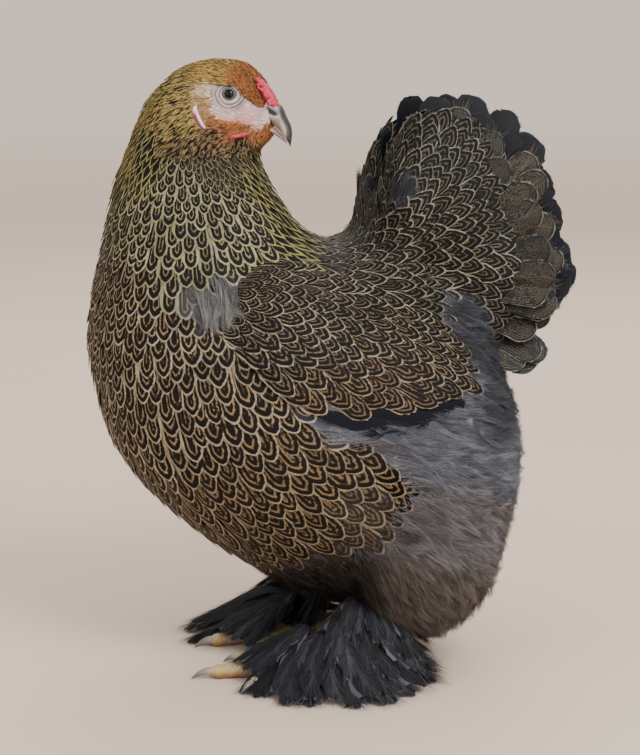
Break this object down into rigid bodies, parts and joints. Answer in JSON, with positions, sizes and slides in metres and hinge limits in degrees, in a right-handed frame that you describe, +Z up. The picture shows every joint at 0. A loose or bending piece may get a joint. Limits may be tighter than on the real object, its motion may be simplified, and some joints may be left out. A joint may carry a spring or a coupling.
{
  "type": "standing hen",
  "caption": "Life-size still figure of a feather-footed laced hen standing on both feet and looking back over its shoulder, with a fanned tail and folded wings.",
  "frame": {"origin": "on the floor, under the middle of the whole figure", "axes": "+Z up; the body faces -Y and its left side is +X; the head is turned back over its left shoulder"},
  "size_m": [0.2782, 0.3479, 0.4385],
  "materials": {
    "horn": "pale horn with a slate ridge and tip, smooth",
    "boot": "black and blue-grey foot feathers, matt",
    "comb_red": "pink-red knobbly skin, satin",
    "earlobe": "pale pink wrinkled skin, satin",
    "eye": "wet, dark pupil in a blue-grey iris",
    "toe_skin": "pale yellow scaly skin, matt",
    "face": "rust-coloured small feathers and pink skin, matt",
    "hackle": "pointed golden-edged neck feathers, satin",
    "tail_black": "black feathers with a blue-green sheen",
    "fluff": "grey-brown down, matt",
    "plumage": "feathers with dark and buff laced markings, soft sheen"
  },
  "bodies": {
    "root": {"beak_lower": "horn", "beak_upper": "horn", "boot_left": "boot", "boot_right": "boot", "claw_hind_left": "horn", "claw_hind_right": "horn", "claw_inner_left": "horn", "claw_inner_right": "horn", "claw_middle_left": "horn", "claw_middle_right": "horn", "claw_outer_left": "horn", "claw_outer_right": "horn", "comb": "comb_red", "earlobe_left": "earlobe", "earlobe_right": "earlobe", "eye_left": "eye", "eye_right": "eye", "foot_left": "toe_skin", "foot_right": "toe_skin", "head": "face", "neck": "hackle", "tail": "tail_black", "thigh_left": "fluff", "thigh_right": "fluff", "torso": "plumage", "wattle_left": "comb_red", "wattle_right": "comb_red", "wing_left": "plumage", "wing_right": "plumage"}
  },
  "joints": []
}
